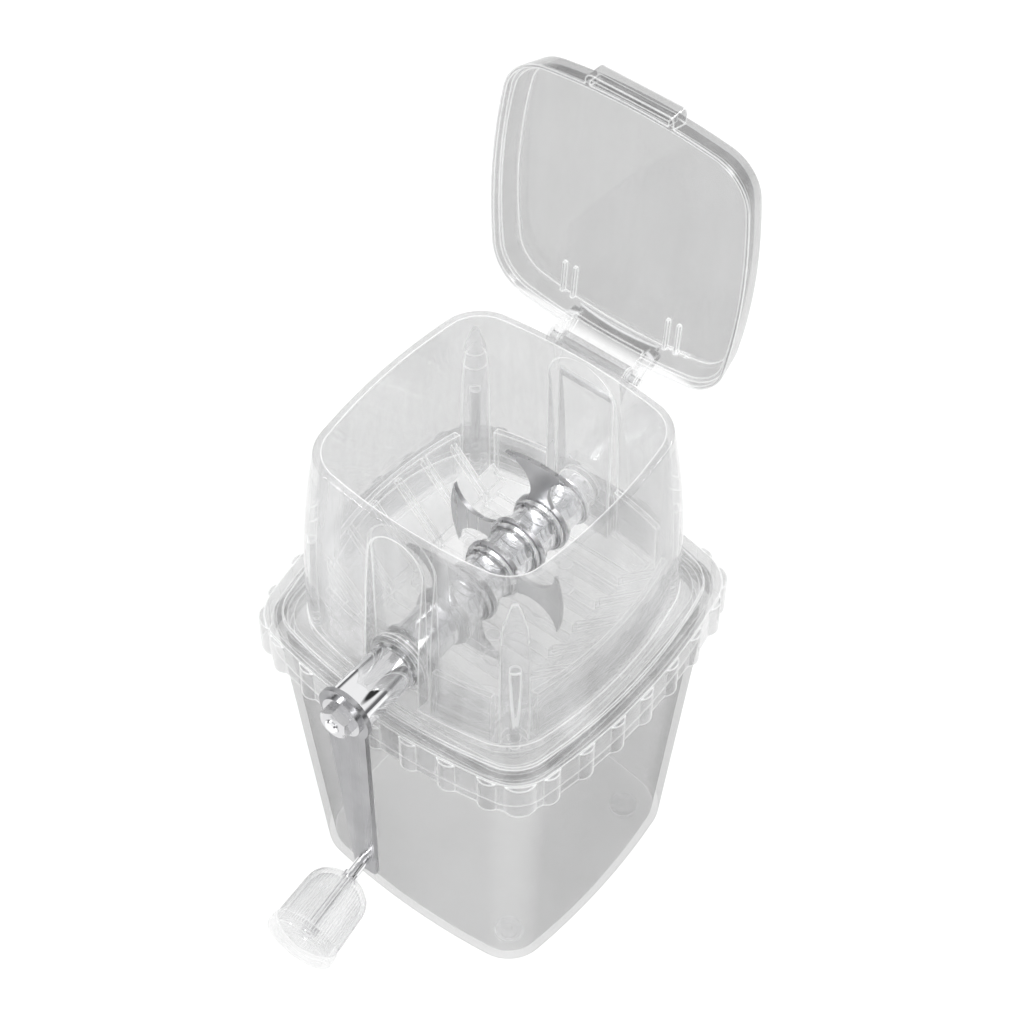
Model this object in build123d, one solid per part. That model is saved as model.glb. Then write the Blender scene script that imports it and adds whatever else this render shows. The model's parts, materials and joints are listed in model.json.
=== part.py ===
from build123d import *
import math
import os

# Hand-crank ice crusher. Millimetres, +Z up, the crank at the front (-Y) and the lid hinge at the
# back (+Y). It is modelled around the bin's centre line, on the surface it stands on, and is written
# out with the middle of the whole crusher's depth, crank and open lid included, at Y = 0.

# ---- Container (the lower, clear bin that catches the crushed ice) ----
base_half = 47.2           # middle of a side, at the bottom
base_corner = 14.5         # corner radius in plan
base_bow = 3.8             # how far each side bulges out between its corners
rim_half = 55.8            # middle of a side, at the open rim
rim_corner = 17.0
rim_bow = 3.9
container_height = 125.7   # underside of the floor to the rim, feet included
container_wall = 2.2
floor_thickness = 2.6
bottom_round = 2.4         # radius of the outer bottom edge
foot_inset = 32.3          # foot centre, from each centre line
foot_radius = 5.0
foot_height = 1.6
foot_recess = 0.6
foot_dimple_radius = 2.8
foot_dimple_depth = 0.4

# ---- Hopper (the upper, clear body that carries the crushing shaft) ----
flange_half = 60.0
flange_corner = 15.5
flange_bow = 6.8
flange_thickness = 2.2
step_half = 55.4           # raised middle of the flange
step_height = 1.2
skirt_depth = 14.0         # from the flange top down over the container rim
skirt_wall = 2.0
grip_count = 7             # grip lobes along each side of the skirt
grip_pitch = 13.7
grip_radius = 4.2
grip_proud = 1.6
corner_grip_radius = 6.0
hopper_foot_half = 50.0
hopper_foot_corner = 18.0
hopper_foot_bow = 6.6
hopper_top_half = 44.2
hopper_top_corner = 15.3
hopper_top_bow = 3.9
hopper_height = 74.0       # flange top to the open mouth
hopper_wall = 2.4
rim_round = 0.9
locating_depth = 7.0       # lip that drops inside the container rim
locating_wall = 1.6
locating_clearance = 0.5
niche_width = 20.4         # arched recess in the front and back walls that holds a bearing
niche_drop = 13.0          # spring of the arch, below the hopper's mouth
niche_rise = 8.5           # rise of the arch
niche_face = 44.5          # upright face of the recess, from the middle plane
niche_boss_radius = 9.8
niche_boss_height = 1.6
post_inset = 39.6          # screw post centre, from each centre line
post_radius = 4.4
post_tip_drop = 8.0        # tip of the post's pointed end, below the hopper's mouth
post_tip_length = 11.0
post_tip_radius = 1.2
post_hole_depth = 38.0

# ---- Crushing bed (funnel and comb under the shaft) ----
bed_plate_half = 50.2
bed_plate_thickness = 2.0
bed_wall = 1.8
bed_clearance = 0.5        # between the bed's upright frame and the hopper wall
bed_height = 19.0          # the frame's rim above the flange top
bed_corner_cut = 14.0      # the frame stops short of the corner posts
ramp_top_reach = 46.0      # ramps fall from the frame towards the shaft
ramp_foot_reach = 27.0
comb_bar_width = 3.6
comb_bar_height = 7.0
ramp_rib_width = 2.0
ramp_rib_height = 2.6
peg_foot_radius = 3.1
peg_top_radius = 2.5
peg_height = 12.0
peg_reach = 14.0           # peg centre, from the shaft's plane
screw_radius = 1.5
screw_length = 12.0
screw_head_radius = 3.0
screw_head_height = 1.8

# ---- Shaft, blades and spacers ----
shaft_rise = 13.9          # shaft axis, above the flange top
shaft_square = 8.0
journal_radius = 4.0
tang_square = 5.6          # square end that drives the crank arm
thread_radius = 2.5
running_clearance = 0.05
end_float = 0.4            # axial play at each bearing
blade_pitch = 12.0
blade_thickness = 1.5
blade_hub_radius = 10.3
blade_reach = 26.6         # the outer edge's radius
blade_tip_reach = 27.8
blade_tip_angle = 28.0
blade_neck = 3.4           # half the neck's width
blade_neck_reach = 15.6
blade_hub_angle = 34.0      # where the neck's sides meet the hub
blade_root_depth = 0.4      # and how far inside its edge
blade_directions = (90, 180, 0, 270, 90)   # from the back blade to the front one
spacer_disc_radius = 9.5
spacer_disc_thickness = 2.2
spacer_neck_radius = 6.9
square_clearance = 0.1

# ---- Bearings, sleeve, crank and knob ----
bush_radius = 7.6
bush_flange_radius = 10.2
bush_flange_thickness = 2.4
back_boss_radius = 7.0
back_boss_length = 5.0     # how far the back bearing stands in from its niche
back_boss_proud = 1.0      # and how far it stands out behind
journal_end_gap = 1.0      # the shaft's back end, short of the niche's face
sleeve_radius = 8.2
sleeve_wall = 1.4
sleeve_web = 3.0
sleeve_length = 21.1
arm_thickness = 1.8
arm_eye_radius = 9.6
arm_neck_half = 8.0
arm_end_half = 4.4
arm_end_overhang = 5.6     # arm end beyond the handle pin
arm_corner = 1.2
crank_throw = 75.0         # shaft axis to handle pin
washer_radius = 7.2
washer_thickness = 1.2
nut_across_flats = 9.4
nut_height = 4.0
thread_proud = 0.8
pin_radius = 2.0
pin_exposed = 9.0
pin_collar_radius = 2.9
pin_collar_length = 1.6
pin_lean = 5.0             # degrees, the handle pin splays towards +X
pin_droop = 4.0            # degrees, and down
knob_length = 27.0
knob_shoulder_radius = 11.2
knob_rim_radius = 12.1
knob_neck_radius = 4.4
knob_dome = 8.6            # length of the domed end
knob_band = 4.6            # plain band at the outer end
knob_pocket_radius = 8.8
knob_pocket_depth = 8.0
knob_cap_thickness = 2.0
knob_cap_recess = 1.6
knob_nut_flats = 5.5
knob_nut_height = 3.0

# ---- Lid and hinge ----
lid_overhang = 1.7         # the lid's side stands this far outside the hopper mouth
lid_overlap = 2.0          # the lid's lip comes down this far over the hopper's rim
lid_depth = 10.4
lid_taper = 2.2            # inset of the lid's top against its lip
lid_wall = 1.8
lid_edge = 1.3             # chamfer around the lid's flat top
lid_corner = 16.4
lid_bow = 4.3
lid_lip_clearance = 0.4
lid_seat_gap = 0.3
lid_open_angle = 95.0
hinge_reach = 4.6          # hinge axis, behind the hopper's mouth
hinge_drop = 5.0           # hinge axis, below the hopper's mouth
barrel_radius = 3.1
hinge_pin_radius = 1.25
barrel_length = 25.0       # the hopper's knuckle
bracket_drop = 11.0        # the knuckle's bracket runs this far down the back wall
bracket_foot = 1.0
ear_thickness = 3.6        # each lid ear
ear_gap = 0.4
hood_gap = 0.6             # between the hood's inner face and the hopper's barrel
hood_thickness = 1.5
tab_width = 31.0           # thumb tab on the lid's free edge
tab_reach = 3.0
tab_height = 6.4
tab_corner = 2.0
hinge_notch = 3.6          # height of the notch in the lid's back wall, over the knuckle
lid_rib_places = (17.5, 21.5)   # short ribs inside the tray, beside the hinge
lid_rib_length = 13.0
lid_rib_width = 1.0
lid_rib_height = 2.2

# ---- Worked-out places ----
flange_top = container_height + flange_thickness
step_top = flange_top + step_height
mouth = flange_top + hopper_height
hinge_height = mouth - hinge_drop
hinge_back = hopper_top_half + hinge_reach
shaft_height = flange_top + shaft_rise
hinge_axis = Axis((0, hinge_back, hinge_height), (1, 0, 0))
niche_inner = niche_face - hopper_wall
front_boss_face = -(niche_face + niche_boss_height)
front_bearing_face = front_boss_face - bush_flange_thickness
shaft_rest_turn = 3.4      # degrees, how far the crank hangs towards +X


def bowed_square(half, corner, bow, height):
    """A level rounded square whose sides bulge out to the given half width."""
    reach = half - bow
    with BuildSketch(Plane.XY.offset(height)) as outline:
        with BuildLine():
            ThreePointArc((-reach, -reach), (0, -half), (reach, -reach))
            ThreePointArc((reach, -reach), (half, 0), (reach, reach))
            ThreePointArc((reach, reach), (0, half), (-reach, reach))
            ThreePointArc((-reach, reach), (-half, 0), (-reach, -reach))
        make_face()
        fillet(outline.vertices(), corner)
    return outline.sketch


def prism(half, corner, bow, low, high):
    """An upright block with a bowed square plan."""
    return extrude(bowed_square(half, corner, bow, low), high - low)


def group(pieces):
    """Separate solids kept together as one node."""
    return Compound([solid for piece in pieces for solid in piece.solids()])


def box(x_range, y_range, z_range):
    """A block from its three ranges."""
    sides = [high - low for low, high in (x_range, y_range, z_range)]
    middle = [(high + low) / 2 for low, high in (x_range, y_range, z_range)]
    return Pos(*middle) * Box(*sides)


def disc_y(radius, y_low, y_high, height=0.0, x=0.0):
    """A round bar along Y."""
    return Pos(x, (y_low + y_high) / 2, height) * Rot(90, 0, 0) * Cylinder(radius, y_high - y_low)


def square_y(side, y_low, y_high, height):
    """A square bar along Y."""
    return Pos(0, (y_low + y_high) / 2, height) * Box(side, y_high - y_low, side)


def side_offset(along, half, bow):
    """Distance of a bowed side from the middle plane, at a place along the side."""
    return half - bow * (along / (half - bow)) ** 2


def corner_offset(half, corner, bow):
    """Distance of a bowed square's rounded corner from the middle, along the diagonal."""
    reach = half - bow
    half_angle = math.pi / 4 + 2 * math.atan(bow / reach)
    return math.sqrt(2) * reach - corner * (1 / math.sin(half_angle) - 1)


def hopper_half(share):
    """Half width of the hopper wall, at a share of its height: it curves in towards the mouth."""
    return hopper_foot_half - (hopper_foot_half - hopper_top_half) * share ** 2


def hopper_block(offset, low=0.0, high=1.0):
    """The hopper's tapered form, grown outward by an offset, between two shares of its height."""
    sections = []
    for step in range(4):
        share = low + (high - low) * step / 3
        corner = hopper_foot_corner + (hopper_top_corner - hopper_foot_corner) * share + offset
        bow = hopper_foot_bow + (hopper_top_bow - hopper_foot_bow) * share
        height = flange_top + hopper_height * share
        sections.append(bowed_square(hopper_half(share) + offset, corner, bow, height))
    return loft(sections)


def make_container():
    """Open-topped bin with a tapered wall, a rounded bottom edge and recesses for the feet."""
    bottom = foot_height - foot_recess
    outer = loft(
        [
            bowed_square(base_half, base_corner, base_bow, bottom),
            bowed_square(rim_half, rim_corner, rim_bow, container_height),
        ],
        ruled=True,
    )
    outer = fillet(outer.faces().sort_by(Axis.Z)[0].edges(), bottom_round)
    floor_top = bottom + floor_thickness
    share = (floor_top - bottom) / (container_height - bottom)
    inner_half = base_half + (rim_half - base_half) * share - container_wall
    inner = loft(
        [
            bowed_square(inner_half, base_corner - container_wall, base_bow, floor_top),
            bowed_square(
                rim_half - container_wall, rim_corner - container_wall, rim_bow, container_height
            ),
        ],
        ruled=True,
    )
    container = outer - inner
    for place in foot_places():
        container -= Pos(*place, foot_height / 2) * Cylinder(foot_radius + running_clearance, foot_height)
    return container


def foot_places():
    """The four foot centres."""
    return [(x * foot_inset, y * foot_inset) for x in (-1, 1) for y in (-1, 1)]


def make_foot_pads():
    """Four round pads, each with a shallow dimple underneath."""
    pads = []
    for place in foot_places():
        pad = Pos(*place, foot_height / 2) * Cylinder(foot_radius, foot_height)
        pad -= Pos(*place, 0) * Cylinder(foot_dimple_radius, 2 * foot_dimple_depth)
        pads.append(pad)
    return group(pads)


def grip_lobes():
    """Upright rounded lobes spaced along the skirt, with a larger one on each corner."""
    low = flange_top - skirt_depth
    height = skirt_depth - step_height / 2
    lobe = Pos(0, 0, low + height / 2) * Cylinder(grip_radius, height)
    corner_lobe = Pos(0, 0, low + height / 2) * Cylinder(corner_grip_radius, height)
    lobes = []
    for quarter in range(4):
        turn = Rot(0, 0, 90 * quarter)
        for index in range(grip_count):
            along = (index - (grip_count - 1) / 2) * grip_pitch
            out = side_offset(along, flange_half, flange_bow) + grip_proud - grip_radius
            lobes.append(turn * Pos(along, -out, 0) * lobe)
        out = corner_offset(flange_half, flange_corner, flange_bow)
        out += grip_proud - corner_grip_radius
        lobes.append(turn * Rot(0, 0, 45) * Pos(0, -out, 0) * corner_lobe)
    return lobes


def make_flange():
    """Stepped flange with a deep skirt around the container rim and a locating lip inside it."""
    skirt_low = flange_top - skirt_depth
    flange = prism(flange_half, flange_corner, flange_bow, skirt_low, flange_top)
    flange += grip_lobes()
    flange -= prism(
        flange_half - skirt_wall,
        flange_corner - skirt_wall,
        flange_bow,
        skirt_low,
        container_height,
    )
    step_inset = flange_half - step_half
    flange += prism(step_half, flange_corner - step_inset / 2, flange_bow, flange_top, step_top)
    lip_half = rim_half - container_wall - locating_clearance
    lip_half -= (rim_half - base_half) * locating_depth / container_height
    lip_corner = rim_corner - container_wall
    lip = prism(lip_half, lip_corner, rim_bow, container_height - locating_depth, container_height)
    lip -= prism(
        lip_half - locating_wall,
        lip_corner - locating_wall,
        rim_bow,
        container_height - locating_depth,
        container_height,
    )
    return flange + lip


def niche_block(side, face, grow):
    """Arched block standing outward from a face of the front (side -1) or back (side 1) niche."""
    low = container_height - 1
    spring = mouth - niche_drop
    half = niche_width / 2 + grow
    with BuildSketch(Plane.XZ) as outline:
        with BuildLine():
            Polyline((-half, spring), (-half, low), (half, low), (half, spring))
            ThreePointArc((half, spring), (0, spring + niche_rise + grow), (-half, spring))
        make_face()
    block = extrude(outline.sketch, hopper_foot_half)
    block = Pos(0, -face, 0) * block
    if side > 0:
        block = mirror(block, Plane.XZ)
    return block


def post_places():
    """The four screw post centres."""
    return [(x * post_inset, y * post_inset) for x in (-1, 1) for y in (-1, 1)]


def make_hopper():
    """Clear upper body: bowed wall, flange and skirt, bearing niches, screw posts, hinge knuckle."""
    margin = 0.03
    cavity = hopper_block(-hopper_wall, -margin * 2, 1 + margin)
    post_top = mouth - post_tip_drop - post_tip_length
    post_low = container_height - locating_depth
    for place in post_places():
        cavity -= Pos(*place, (post_low + post_top) / 2) * Cylinder(post_radius, post_top - post_low)
        cavity -= Pos(*place, post_top + post_tip_length / 2) * Cone(
            post_radius, post_tip_radius, post_tip_length
        )
    for side in (-1, 1):
        cavity -= niche_block(side, niche_inner, hopper_wall)
    hopper = make_flange() + hopper_block(0, -margin / 2, 1)
    mouth_edges = hopper.faces().sort_by(Axis.Z)[-1].edges()
    hopper = fillet(mouth_edges, rim_round)
    hopper -= cavity
    niche_floor = box((-flange_half, flange_half), (-flange_half, flange_half), (0, step_top))
    for side in (-1, 1):
        hopper -= niche_block(side, niche_face, 0) - niche_floor
    hopper += disc_y(niche_boss_radius, front_boss_face, -niche_inner, shaft_height)
    hopper -= disc_y(
        bush_radius + running_clearance, front_boss_face - 1, -niche_inner + 1, shaft_height
    )
    hopper -= disc_y(
        back_boss_radius + running_clearance, niche_inner - 1, niche_face + 1, shaft_height
    )
    hole_low = container_height - locating_depth
    for place in post_places():
        hopper -= Pos(*place, (hole_low + container_height + post_hole_depth) / 2) * Cylinder(
            screw_radius, post_hole_depth + locating_depth
        )
    return hopper + hinge_knuckle()


def hinge_knuckle():
    """The hopper's hinge barrel, on a bracket that runs down into the back wall."""
    x_range = (-barrel_length / 2, barrel_length / 2)
    wall_back = hopper_half(1 - hinge_drop / hopper_height)
    bracket = Plane.YZ * Polygon(
        (wall_back - hopper_wall / 2, hinge_height + barrel_radius * 0.5),
        (hinge_back, hinge_height + barrel_radius * 0.5),
        (hinge_back + barrel_radius, hinge_height),
        (wall_back + bracket_foot, hinge_height - bracket_drop),
        (wall_back, hinge_height - bracket_drop),
        align=None,
    )
    knuckle = extrude(bracket, barrel_length / 2, both=True)
    knuckle += hinge_barrel(*x_range)
    return knuckle - hinge_bore(hinge_pin_radius + running_clearance, x_range)


def hinge_barrel(x_low, x_high):
    """A round bar along the hinge axis."""
    return Pos((x_low + x_high) / 2, hinge_back, hinge_height) * Rot(0, 90, 0) * Cylinder(
        barrel_radius, x_high - x_low
    )


def hinge_bore(radius, x_range):
    """The hole for the hinge pin, over a range of X."""
    low, high = x_range
    return Pos((low + high) / 2, hinge_back, hinge_height) * Rot(0, 90, 0) * Cylinder(
        radius, high - low
    )


def bed_frame_block(offset, low, high):
    """The bed's upright frame form: it follows the hopper's inner wall at a clearance."""
    sections = []
    inset = hopper_wall + bed_clearance - offset
    for height in (low, high):
        share = max(0.0, (height - flange_top) / hopper_height)
        half = hopper_half(share) - inset
        sections.append(bowed_square(half, hopper_foot_corner - inset, hopper_foot_bow, height))
    return loft(sections, ruled=True)


def between_blades():
    """The places along the shaft, midway between blades and just outside the end ones."""
    count = len(blade_directions) + 1
    return [(index - (count - 1) / 2) * blade_pitch for index in range(count)]


def blade_places():
    """The places of the blades along the shaft, from the back one to the front one."""
    count = len(blade_directions)
    return [((count - 1) / 2 - index) * blade_pitch for index in range(count)]


def make_ramp(side):
    """A sloping side of the funnel, with ribs on it that stand between the blades."""
    top = flange_top + bed_height
    foot = container_height
    run = ramp_top_reach - ramp_foot_reach
    rise = top - foot
    slope = math.hypot(run, rise)
    drop = bed_wall * slope / run
    half_length = side_offset(ramp_top_reach, hopper_foot_half, hopper_foot_bow) - hopper_wall
    profile = Plane.XZ * Polygon(
        (side * ramp_top_reach, top),
        (side * ramp_foot_reach, foot),
        (side * ramp_foot_reach, foot - drop),
        (side * ramp_top_reach, top - drop),
        align=None,
    )
    ramp = extrude(profile, half_length, both=True)
    rib_rise = ramp_rib_height * slope / run
    rib = Plane.XZ * Polygon(
        (side * (ramp_top_reach - 1), top - drop / 2),
        (side * ramp_foot_reach, foot - drop / 2),
        (side * ramp_foot_reach, foot + rib_rise),
        (side * (ramp_top_reach - ramp_rib_height), top),
        align=None,
    )
    for place in between_blades():
        ramp += Pos(0, place, 0) * extrude(rib, ramp_rib_width / 2, both=True)
    return ramp


def make_crushing_bed():
    """Funnel frame, comb bars and standing pegs that the blades sweep between."""
    plate_low = container_height - bed_plate_thickness
    top = flange_top + bed_height
    inset = hopper_foot_half - bed_plate_half
    plate_corner = hopper_foot_corner - inset
    plate = prism(bed_plate_half, plate_corner, hopper_foot_bow, plate_low, container_height)
    frame = bed_frame_block(0, plate_low, top) - bed_frame_block(-bed_wall, plate_low - 1, top + 1)
    niche_gap = niche_width / 2 + hopper_wall + bed_clearance
    frame -= box((-niche_gap, niche_gap), (-60, 60), (container_height, top + 1))
    mid_half = ramp_foot_reach
    opening_length = between_blades()[-1] + comb_bar_width * 1.5
    plate -= box((-mid_half, mid_half), (-opening_length, opening_length), (plate_low, container_height))
    bed = plate + frame
    inside = bed_frame_block(-bed_wall / 2, plate_low, top)
    for side in (-1, 1):
        bed += make_ramp(side) & inside
    for place in post_places():
        bed -= Pos(*place, (top + container_height) / 2 + 1) * Box(
            bed_corner_cut, bed_corner_cut, top - container_height + 2
        )
    bar_top = container_height
    for place in between_blades():
        bed += box(
            (-mid_half - 1, mid_half + 1),
            (place - comb_bar_width / 2, place + comb_bar_width / 2),
            (bar_top - comb_bar_height, bar_top),
        )
    for place in between_blades()[1:-1]:
        for side in (-1, 1):
            bed += Pos(side * peg_reach, place, bar_top + peg_height / 2) * Cone(
                peg_foot_radius, peg_top_radius, peg_height
            )
    for place in post_places():
        bed -= Pos(*place, plate_low) * Cylinder(
            screw_radius + running_clearance, 4 * bed_plate_thickness
        )
    return bed


def make_bed_screws():
    """Four pan-head screws up through the bed's plate into the posts."""
    plate_low = container_height - bed_plate_thickness
    screws = []
    for place in post_places():
        shank = Pos(*place, plate_low + screw_length / 2) * Cylinder(
            screw_radius - running_clearance, screw_length
        )
        head = Pos(*place, plate_low - screw_head_height / 2) * Cylinder(
            screw_head_radius, screw_head_height
        )
        head = fillet(head.edges().sort_by(Axis.Z)[0], screw_head_height / 2)
        slot = Pos(*place, plate_low - screw_head_height) * Box(
            screw_head_radius * 1.2, screw_head_radius / 4, screw_head_height
        )
        cross = Pos(*place, plate_low - screw_head_height) * Box(
            screw_head_radius / 4, screw_head_radius * 1.2, screw_head_height
        )
        screws.append(head + shank - slot - cross)
    return group(screws)


def make_front_bearing():
    """Flanged bush pressed into the front niche from outside."""
    face = front_boss_face
    bush = disc_y(bush_radius, face, -niche_inner, shaft_height)
    bush += disc_y(bush_flange_radius, front_bearing_face, face, shaft_height)
    rim = bush.faces().sort_by(Axis.Y)[0].edges()
    bush = fillet(rim, bush_flange_thickness / 3)
    return bush - disc_y(journal_radius + running_clearance, face - 5, -niche_inner + 1, shaft_height)


def make_back_bearing():
    """Blind bush in the back niche that carries the shaft's far end."""
    inner = niche_inner - back_boss_length
    outer = niche_face + back_boss_proud
    bush = disc_y(back_boss_radius, inner, outer, shaft_height)
    bush = fillet(bush.edges().sort_by(Axis.Y)[-1], 1.0)
    return bush - disc_y(
        journal_radius + running_clearance, inner - 1, shaft_back_end() + end_float, shaft_height
    )


def shaft_back_end():
    """Where the shaft's back journal ends."""
    return niche_face - journal_end_gap


def sleeve_front():
    """The front face of the sleeve, where the crank arm seats."""
    return front_bearing_face - end_float - sleeve_length


def arm_front():
    """The outer face of the crank arm."""
    return sleeve_front() - arm_thickness


def make_drive_shaft():
    """Square bar with turned journals, a square tang for the arm and a threaded end."""
    square_front = -niche_inner + end_float + 1.0
    square_back = niche_inner - back_boss_length - 1.0
    nut_front = arm_front() - washer_thickness - nut_height
    shaft = square_y(shaft_square, square_front, square_back, shaft_height)
    shaft += disc_y(journal_radius, square_back, shaft_back_end(), shaft_height)
    shaft += disc_y(journal_radius, sleeve_front(), square_front, shaft_height)
    shaft += square_y(tang_square, arm_front(), sleeve_front(), shaft_height)
    end = disc_y(thread_radius, nut_front - thread_proud, arm_front(), shaft_height)
    end = chamfer(end.edges().sort_by(Axis.Y)[0], thread_radius / 5)
    return shaft + end


def blade_outline():
    """A fluke: a round hub, a waisted neck and a broad outer edge with two pointed tips."""
    angle = math.radians(blade_tip_angle)
    tip_out = blade_tip_reach * math.cos(angle)
    tip_side = blade_tip_reach * math.sin(angle)
    hub_angle = math.radians(blade_hub_angle)
    hub_out = (blade_hub_radius - blade_root_depth) * math.cos(hub_angle)
    hub_side = (blade_hub_radius - blade_root_depth) * math.sin(hub_angle)
    with BuildSketch(Plane.XZ) as outline:
        with BuildLine():
            ThreePointArc((tip_out, -tip_side), (blade_reach, 0), (tip_out, tip_side))
            ThreePointArc((tip_out, tip_side), (blade_neck_reach, blade_neck), (hub_out, hub_side))
            Line((hub_out, hub_side), (0, 0))
            Line((0, 0), (hub_out, -hub_side))
            ThreePointArc(
                (hub_out, -hub_side), (blade_neck_reach, -blade_neck), (tip_out, -tip_side)
            )
        make_face()
        Circle(blade_hub_radius)
        Rectangle(
            shaft_square + 2 * square_clearance,
            shaft_square + 2 * square_clearance,
            mode=Mode.SUBTRACT,
        )
    return outline.sketch


def make_blade(place, direction):
    """One crushing blade on the square shaft, pointing in a direction in the XZ plane."""
    blade = extrude(blade_outline(), blade_thickness / 2, both=True)
    return Pos(0, place, shaft_height) * Rot(0, -direction, 0) * blade


def spacer_ranges():
    """The Y range that each spacer fills, from the back one to the front one."""
    places = blade_places()
    gap = blade_thickness / 2
    back_end = niche_inner - back_boss_length - end_float
    front_end = -niche_inner + end_float
    highs = [back_end] + [place - gap for place in places]
    lows = [place + gap for place in places] + [front_end]
    return list(zip(lows, highs))


def make_spacer(low, high):
    """Clear bobbin with a disc at each end and a narrow waist, square inside."""
    spacer = disc_y(spacer_neck_radius, low, high, shaft_height)
    for start in (low, high - spacer_disc_thickness):
        spacer += disc_y(spacer_disc_radius, start, start + spacer_disc_thickness, shaft_height)
    hole = shaft_square + 2 * square_clearance
    return spacer - square_y(hole, low - 1, high + 1, shaft_height)


def make_drive_sleeve():
    """Polished cup over the front journal, closed at the crank end."""
    back = sleeve_front() + sleeve_length
    sleeve = disc_y(sleeve_radius, sleeve_front(), back, shaft_height)
    sleeve -= disc_y(sleeve_radius - sleeve_wall, sleeve_front() + sleeve_web, back + 1, shaft_height)
    return sleeve - disc_y(journal_radius + running_clearance, sleeve_front() - 1, back, shaft_height)


def make_crank_arm():
    """Flat arm: a round eye on the shaft, a straight taper and a square end at the handle pin."""
    pin_height = -crank_throw
    end_height = pin_height - arm_end_overhang
    with BuildSketch(Plane.XZ) as outline:
        Polygon(
            (-arm_neck_half, -2.0),
            (arm_neck_half, -2.0),
            (arm_end_half, end_height),
            (-arm_end_half, end_height),
            align=None,
        )
        low_corners = outline.vertices().group_by(Axis.Z)[0]
        fillet(low_corners, arm_corner)
        Circle(arm_eye_radius)
        tang = tang_square + 2 * running_clearance
        Rectangle(tang, tang, mode=Mode.SUBTRACT)
        with Locations((0, pin_height)):
            Circle(pin_radius + running_clearance, mode=Mode.SUBTRACT)
    arm = extrude(outline.sketch, arm_thickness)
    return Pos(0, sleeve_front(), shaft_height) * arm


def make_crank_washer():
    """Plain washer under the nut."""
    low = arm_front() - washer_thickness
    washer = disc_y(washer_radius, low, arm_front(), shaft_height)
    return washer - disc_y(thread_radius + running_clearance, low - 1, arm_front() + 1, shaft_height)


def hexagon(flats, height):
    """A hexagonal nut body along local Z, its corners turned off at the outer end."""
    corner = flats / math.sqrt(3)
    body = extrude(RegularPolygon(corner, 6), height)
    dome = Pos(0, 0, height / 2) * Cylinder(corner, height)
    dome = chamfer(dome.edges().sort_by(Axis.Z)[-1], height * 0.16, height * 0.3)
    return body & dome


def make_crank_nut():
    """Hexagon nut that clamps the arm on the shaft's tang."""
    seat = Plane(origin=(0, arm_front() - washer_thickness, shaft_height), z_dir=(0, -1, 0))
    nut = seat * hexagon(nut_across_flats, nut_height)
    return nut - disc_y(
        thread_radius + running_clearance, arm_front() - 10, arm_front(), shaft_height
    )


def handle_plane():
    """The handle pin's frame at rest: local Z runs outward along the pin from the arm's face."""
    lean = math.radians(pin_lean)
    droop = math.radians(pin_droop)
    direction = Vector(math.tan(lean), -1, -math.tan(droop)).normalized()
    return Plane(origin=(0, arm_front(), shaft_height - crank_throw), z_dir=direction)


def make_handle_pin():
    """Pin riveted through the arm's end, with a collar that keeps the knob off the arm."""
    nut_seat = knob_floor() + end_float
    length = nut_seat + knob_nut_height + thread_proud
    pin = Pos(0, 0, length / 2) * Cylinder(pin_radius, length)
    collar_low = pin_exposed - end_float - pin_collar_length
    pin += Pos(0, 0, collar_low + pin_collar_length / 2) * Cylinder(
        pin_collar_radius, pin_collar_length
    )
    shank = disc_y(pin_radius, arm_front() - 0.6, sleeve_front(), shaft_height - crank_throw)
    head = disc_y(
        pin_collar_radius, sleeve_front(), sleeve_front() + 1.2, shaft_height - crank_throw
    )
    return handle_plane() * pin + shank + head


def knob_floor():
    """The bottom of the knob's pocket, along the pin."""
    return pin_exposed + knob_length - knob_pocket_depth


def make_knob_nut():
    """Small nut on the pin's end, inside the knob's pocket."""
    nut = Pos(0, 0, knob_floor() + end_float) * hexagon(knob_nut_flats, knob_nut_height)
    bore = Pos(0, 0, knob_floor()) * Cylinder(pin_radius + running_clearance / 2, 20)
    return handle_plane() * (nut - bore)


def make_handle_knob():
    """Clear bell: domed at the arm, flaring a little to a plain band at the open end."""
    start = pin_exposed
    shoulder = start + knob_dome
    end = start + knob_length
    dome_radius = knob_shoulder_radius * 0.80
    with BuildSketch(Plane.XZ) as half:
        with BuildLine():
            Line((0, start), (knob_neck_radius, start))
            ThreePointArc(
                (knob_neck_radius, start),
                (dome_radius, start + knob_dome * 0.33),
                (knob_shoulder_radius, shoulder),
            )
            Line((knob_shoulder_radius, shoulder), (knob_rim_radius - 0.6, end - knob_band))
            Line((knob_rim_radius - 0.6, end - knob_band), (knob_rim_radius, end - knob_band))
            Line((knob_rim_radius, end - knob_band), (knob_rim_radius, end))
            Line((knob_rim_radius, end), (0, end))
            Line((0, end), (0, start))
        make_face()
    knob = revolve(half.sketch, Axis.Z)
    knob -= Pos(0, 0, end) * Cylinder(knob_pocket_radius, 2 * knob_pocket_depth)
    knob -= Pos(0, 0, start) * Cylinder(pin_radius + running_clearance, 2 * knob_length)
    return handle_plane() * knob


def make_knob_cap():
    """Disc that closes the knob's pocket, a little inside the rim."""
    high = pin_exposed + knob_length - knob_cap_recess
    cap = Pos(0, 0, high - knob_cap_thickness / 2) * Cylinder(
        knob_pocket_radius, knob_cap_thickness
    )
    return handle_plane() * cap


def lid_block(inset, low, high):
    """The closed lid's tapered form, shrunk by an inset, between two heights above its lip."""
    sections = []
    for height in (low, high):
        shrink = inset + lid_taper * height / lid_depth
        half = hopper_top_half + lid_overhang - shrink
        sections.append(
            bowed_square(half, lid_corner - shrink, lid_bow, mouth - lid_overlap + height)
        )
    return loft(sections, ruled=True)


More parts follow.
